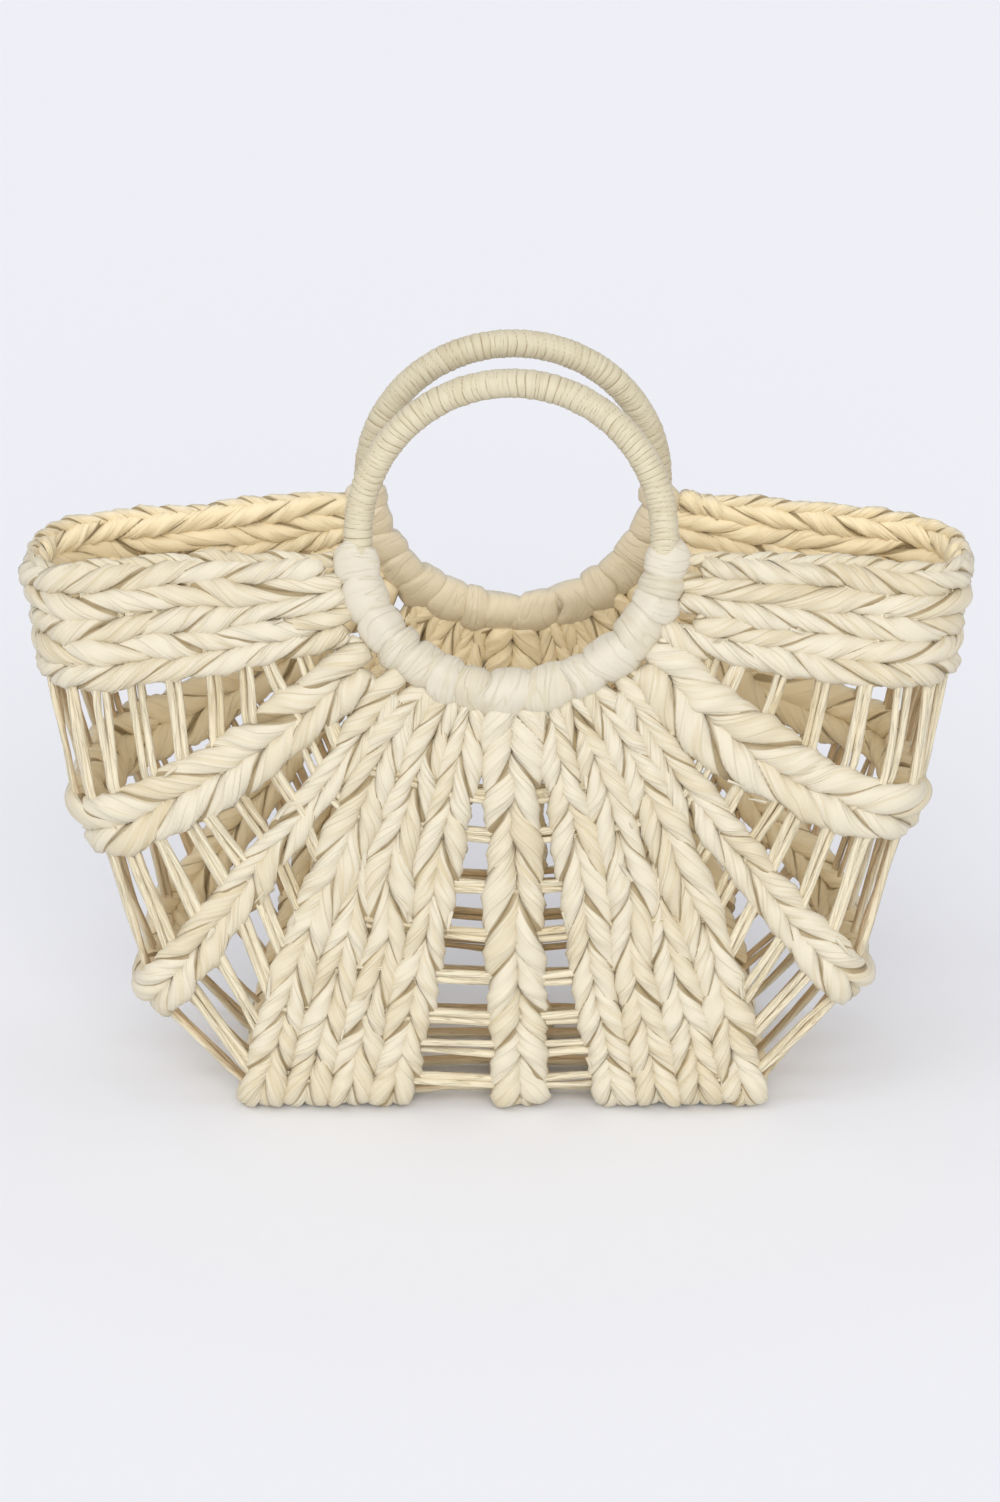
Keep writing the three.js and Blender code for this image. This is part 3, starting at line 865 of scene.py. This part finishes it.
def husk_material(name, colours, roughness, fibres, folds, bump):
    """Dry husk: pale and faintly silky, with fibres and creases along the strip, painted shade in its
    folds and seams, and an inside colour that paints warm light or shade where it faces into the bag.

    fibres and folds are how fine the pattern is across, along and through a strip, and bump is
    how strongly it stands out.
    """
    pale, mid, shade_colour, inside = [tuple(colour) for colour in colours]
    material = bpy.data.materials.new(name)
    material.use_nodes = True
    tree = material.node_tree
    tree.nodes.clear()
    tone, seam_shade, inner = [
        add_node(tree, "ShaderNodeAttribute", {"attribute_name": layer}).outputs["Fac"]
        for layer in ("tone", "seam_shade", "inner")
    ]
    uv = add_node(tree, "ShaderNodeUVMap").outputs["UV"]
    fine_lay = add_node(tree, "ShaderNodeMapping", Vector=uv, Scale=fibres).outputs[0]
    fibre = noise(tree, fine_lay, 1.0, 5.0, 0.6)
    wide_lay = add_node(tree, "ShaderNodeMapping", Vector=uv, Scale=folds).outputs[0]
    crumple = noise(tree, wide_lay, 1.0, 2.0, 0.5)
    # Creases run where the noise is halfway, so they are thin lines
    from_middle = calculate(tree, "SUBTRACT", crumple, 0.5)
    distance = calculate(tree, "ABSOLUTE", from_middle)
    crease = soft_step(tree, distance, 0.0, 0.035, 1.0, 0.0)
    place = add_node(tree, "ShaderNodeTexCoord").outputs["Object"]
    cloud = noise(tree, place, 38.0, 2.0, 0.5)
    # Pale or yellow by leaf, fibre and cloud, and darker in the creases as painted shade
    streaks = calculate(tree, "MULTIPLY", fibre, 0.60)
    toned = calculate(tree, "MULTIPLY_ADD", tone, 0.26, streaks)
    clouded = calculate(tree, "MULTIPLY_ADD", cloud, 0.36, toned)
    lined = calculate(tree, "MULTIPLY_ADD", crease, -0.16, clouded)
    ramp = add_node(tree, "ShaderNodeValToRGB", Fac=lined)
    for element, position, colour in zip(ramp.color_ramp.elements, (0.34, 0.66), (mid, pale)):
        element.position = position
        element.color = colour
    # Husk facing into the bag takes the inside colour, which paints warm bounce light on the rows and
    # binding and warm shade on the cords, and seams and folds are darkest with painted shade
    facing_in = calculate(tree, "MULTIPLY", inner, 0.75)
    inside_tinted = mixed_colour(tree, facing_in, ramp.outputs["Color"], inside)
    seam_shaded = soft_step(tree, seam_shade, 0.55, 1.0, 0.0, 0.85)
    colour = mixed_colour(tree, seam_shaded, inside_tinted, shade_colour)
    height = calculate(tree, "MULTIPLY_ADD", fibre, 0.28, crumple)
    creased = calculate(tree, "MULTIPLY_ADD", crease, -0.22, height)
    relief = add_node(
        tree, "ShaderNodeBump", Strength=bump, Distance=0.0015, Height=creased
    ).outputs["Normal"]
    shader = add_node(
        tree, "ShaderNodeBsdfPrincipled", Base_Color=colour, Roughness=roughness, IOR=1.45,
        Sheen_Weight=0.10, Normal=relief,
    )
    add_node(tree, "ShaderNodeOutputMaterial", Surface=shader.outputs[0])
    return material


def husk_materials():
    """The four finishes of husk, each made once."""
    looks = bpy.context.scene.straw_looks
    recipes = {
        # Leaf sheath of maize, bleached pale by the sun and twisted damp: smooth with long creases.
        # Each entry has the colours, the roughness, the fibres, the folds and the bump.
        "twined_maize_husk": (
            (looks.row_pale, looks.row_mid, looks.row_shade, looks.inside),
            0.55, (800, 36, 1), (130, 13, 1), 0.62,
        ),
        # The same husk twisted hard into cord, so yellower and rougher
        "twisted_husk_cord": (
            (looks.cord_pale, looks.cord_mid, looks.cord_shade, looks.cord_inside_shade),
            0.6, (900, 60, 1), (200, 30, 1), 0.9,
        ),
        # Narrow strips wound tight round the hoop, with fine creases along them
        "wound_husk_strip": (
            (looks.hoop_pale, looks.hoop_mid, looks.hoop_shade, looks.inside),
            0.55, (70, 1500, 1), (40, 300, 1), 0.4,
        ),
        # Wide inner husk, the palest and smoothest, with a soft shine
        "wide_husk_strip": (
            (looks.bind_pale, looks.bind_mid, looks.bind_shade, looks.bind_inside_bounce),
            0.5, (60, 900, 1), (30, 160, 1), 0.6,
        ),
    }
    return {
        name: bpy.data.materials.get(name) or husk_material(name, *recipe)
        for name, recipe in recipes.items()
    }


# Settings


def colour_property(name, description, hex_colour):
    """A colour to pick in the panel, given as sRGB hex."""
    return bpy.props.FloatVectorProperty(
        name=name, description=description, default=linear(hex_colour),
        subtype="COLOR", size=4, min=0.0, max=1.0,
    )


def size_property(name, description, size):
    """A length to set in the panel, in metres."""
    return bpy.props.FloatProperty(
        name=name, description=description, default=size, unit="LENGTH", precision=4, min=0.0005,
        max=0.05,
    )


class StrawBagLooks(bpy.types.PropertyGroup):
    """Sizes and colours of the husk, and how finely it is modelled."""

    row_thickness: size_property("Row thickness", "From the inside to the outside of a row", 0.0095)
    cord_width: size_property("Cord strand width", "Each of the two strands, on the wall", 0.0036)
    cord_thickness: size_property("Cord strand thickness", "Each strand, off the wall", 0.0030)
    hoop_thickness: size_property("Hoop thickness", "Across the ring with its winding", 0.0118)
    # Each folds colour is painted shade, laid where a strand tucks under, between the turns of the hoop and
    # between the strips of the binding
    row_pale: colour_property("Row, pale", "Lit husk of the rows", "#d6cdb6")
    row_mid: colour_property("Row, mid", "Yellower husk of the rows", "#c9bb99")
    row_shade: colour_property("Row, folds", "Where a strand of a row tucks under", "#927d54")
    cord_pale: colour_property("Cord, pale", "Lit cord", "#dfd4b7")
    cord_mid: colour_property("Cord, mid", "Yellower cord", "#cebc93")
    cord_shade: colour_property("Cord, folds", "Folds of the cord", "#8a6a38")
    hoop_pale: colour_property("Hoop, pale", "Lit strip of the hoop", "#cbc2a7")
    hoop_mid: colour_property("Hoop, mid", "Yellower strip of the hoop", "#c0b494")
    hoop_shade: colour_property("Hoop, folds", "Between the turns of the hoop", "#8c7853")
    bind_pale: colour_property("Binding, pale", "Lit strip of the binding", "#cfc7b4")
    bind_mid: colour_property("Binding, mid", "Yellower strip of the binding", "#c3b99e")
    bind_shade: colour_property("Binding, folds", "Between the strips of the binding", "#94815c")
    # The inside colours paint light on husk facing into the bag: warm bounce light over the yellower side
    # of the rows and binding, and warm shade on the cords
    inside: colour_property("Inside, rows", "Tint of husk that faces into the bag", "#f7e4b9")
    cord_inside_shade: colour_property("Inside, cords", "Browner husk of the cords inside the bag", "#d3af7e")
    bind_inside_bounce: colour_property("Inside, binding", "Tint of the binding inside the bag", "#dccdab")
    stitch_steps: bpy.props.IntProperty(
        name="Steps in a stitch", description="Rings of points along each stitch", default=10, min=4, max=20
    )
    strand_sides: bpy.props.IntProperty(
        name="Sides of a strand", description="Points round each strand of husk", default=12, min=6, max=24
    )


def fineness():
    """Number of steps or sides of the meshes, by what they are used for."""
    looks = bpy.context.scene.straw_looks
    return dict(
        stitch=looks.stitch_steps, strand=looks.strand_sides, cord=8, turn=6, hoop=20, strip=14,
        binding=48,
    )


# Pieces


class STRAW_OT_camera(bpy.types.Operator):
    """Places the camera in front of the bag, looking down on it a little"""

    bl_idname = "straw.camera"
    bl_label = "Camera"

    def execute(self, context):
        elevation = math.radians(CAMERA_ELEVATION)
        back = CAMERA_DISTANCE * math.cos(elevation)
        height = AIM_HEIGHT + CAMERA_DISTANCE * math.sin(elevation)
        turn = (math.pi / 2 - elevation, 0.0, 0.0)
        bpy.ops.object.camera_add(location=(0.0, -back, height), rotation=turn)
        camera = context.object
        camera.data.sensor_width = SENSOR_WIDTH
        camera.data.lens = SENSOR_WIDTH * PHOTO_FOCAL_LENGTH / PHOTO_HEIGHT
        camera.data.shift_x = PHOTO_SHIFT / PHOTO_HEIGHT
        context.scene.camera = camera
        return {"FINISHED"}


class STRAW_OT_hoops(bpy.types.Operator):
    """Winds the two hoop handles with narrow husk strip"""

    bl_idname = "straw.hoops"
    bl_label = "Hoops"

    def execute(self, context):
        material = husk_materials()["wound_husk_strip"]
        for face, node in enumerate(("front_hoop", "back_hoop")):
            rng = np.random.default_rng(HOOP_DRAWS + face)
            piece = join_sheets([wound_hoop(face, rng, fineness())], f"{node}_wound")
            dress(piece, node, material)
        return {"FINISHED"}


class STRAW_OT_bindings(bpy.types.Operator):
    """Binds the lower half of each hoop with wide husk"""

    bl_idname = "straw.bindings"
    bl_label = "Bindings"

    def execute(self, context):
        material = husk_materials()["wide_husk_strip"]
        for face, node in enumerate(("front_binding", "back_binding")):
            rng = np.random.default_rng(BINDING_DRAWS + face)
            piece = join_sheets(wide_binding(face, rng, fineness()), f"{node}_wound")
            dress(piece, node, material)
        return {"FINISHED"}


class STRAW_OT_braids(bpy.types.Operator):
    """Twines the rows of every braid from hoop to hoop"""

    bl_idname = "straw.braids"
    bl_label = "Braids"

    def execute(self, context):
        material = husk_materials()["twined_maize_husk"]
        for index, braid in enumerate(all_braids()):
            rng = np.random.default_rng(BRAID_DRAWS + index)
            sheets = []
            for row in range(braid["rows"]):
                sheets += twined_row(braid, row, rng, fineness())
            if braid["kind"] == "rim_band":
                sheets += rim_edging(braid, rng, fineness())
            sheets += stray_tips(braid, 2 * braid["rows"], rng)
            piece = join_sheets(sheets, f"{braid['name']}_twined")
            dress(piece, braid["name"], material)
        return {"FINISHED"}


class STRAW_OT_cords(bpy.types.Operator):
    """Runs the paired cords round the hoops through the rows"""

    bl_idname = "straw.cords"
    bl_label = "Cords"

    def execute(self, context):
        material = husk_materials()["twisted_husk_cord"]
        braids = all_braids()
        on_face = len(CORD_TABLE) - SIDE_CORDS
        front = [(f"front_cord_{i + 1}", i, 0) for i in range(on_face)]
        side = [(f"base_cord_{i + 1}", on_face + i, 0) for i in range(SIDE_CORDS)]
        far = [(f"base_cord_{2 * SIDE_CORDS - i}", on_face + i, 1) for i in range(SIDE_CORDS)]
        back = [(f"back_cord_{i + 1}", i, 1) for i in range(on_face)]
        for name, index, face in front + side + far + back:
            rng = np.random.default_rng(CORD_DRAWS + index + BACK_CORD_DRAWS * face)
            piece = join_sheets(paired_cord(braids, index, face, rng, fineness()), f"{name}_pair")
            dress(piece, name, material)
        return {"FINISHED"}


class STRAW_OT_stage(bpy.types.Operator):
    """Lays a plain pale floor and sets soft studio light"""

    bl_idname = "straw.stage"
    bl_label = "Stage"

    def execute(self, context):
        deselect()
        bpy.ops.mesh.primitive_plane_add(size=PAPER_SIZE, location=(0, 4, 0))
        floor = context.object
        floor.name = "floor"
        paper = bpy.data.materials.new("pale_paper")
        paper.use_nodes = True
        shader = paper.node_tree.nodes["Principled BSDF"]
        shader.inputs["Base Color"].default_value = linear(PAPER_COLOUR)
        shader.inputs["Roughness"].default_value = 0.9
        floor.data.materials.append(paper)
        # Name, width of the soft shadow in degrees, place, turn in degrees and strength
        for name, wide, place, turn, power in (
            ("key_light", 55, (-2.0, -2.0, 3.0), (50, 0, -38), 0.60),
            ("fill_light", 45, (0.5, -3.0, 1.0), (68, 0, 6), 1.55),
        ):
            bpy.ops.object.light_add(type="SUN", location=place)
            light = context.object
            light.name = name
            light.data.angle = math.radians(wide)
            light.data.energy = power
            light.rotation_euler = [math.radians(angle) for angle in turn]
        world = bpy.data.worlds.new("studio")
        world.use_nodes = True
        sky = world.node_tree.nodes["Background"]
        sky.inputs["Color"].default_value = linear(SKY_COLOUR)
        sky.inputs["Strength"].default_value = SKY_STRENGTH
        context.scene.world = world
        context.scene.view_settings.view_transform = "Standard"
        return {"FINISHED"}


class STRAW_PT_panel(bpy.types.Panel):
    """Lists the steps that make the bag"""

    bl_label = "Straw Bag"
    bl_idname = "STRAW_PT_panel"
    bl_space_type = "VIEW_3D"
    bl_region_type = "UI"
    bl_category = "Straw Bag"

    def draw(self, context):
        for step in STEPS:
            self.layout.operator(step.bl_idname)
        for name in StrawBagLooks.__annotations__:
            self.layout.prop(context.scene.straw_looks, name)


STEPS = (
    STRAW_OT_camera, STRAW_OT_hoops, STRAW_OT_bindings, STRAW_OT_braids, STRAW_OT_cords,
    STRAW_OT_stage,
)


def register():
    """Adds the settings, the steps and the panel."""
    for item in (StrawBagLooks, *STEPS, STRAW_PT_panel):
        bpy.utils.register_class(item)
    bpy.types.Scene.straw_looks = bpy.props.PointerProperty(type=StrawBagLooks)


def unregister():
    """Takes away what register adds."""
    del bpy.types.Scene.straw_looks
    for item in reversed((StrawBagLooks, *STEPS, STRAW_PT_panel)):
        bpy.utils.unregister_class(item)


def main():
    """Makes the bag and its stage."""
    register()
    bpy.ops.straw.camera()
    bpy.ops.straw.hoops()
    bpy.ops.straw.bindings()
    bpy.ops.straw.braids()
    bpy.ops.straw.cords()
    bpy.ops.straw.stage()


if __name__ == "__main__":
    main()
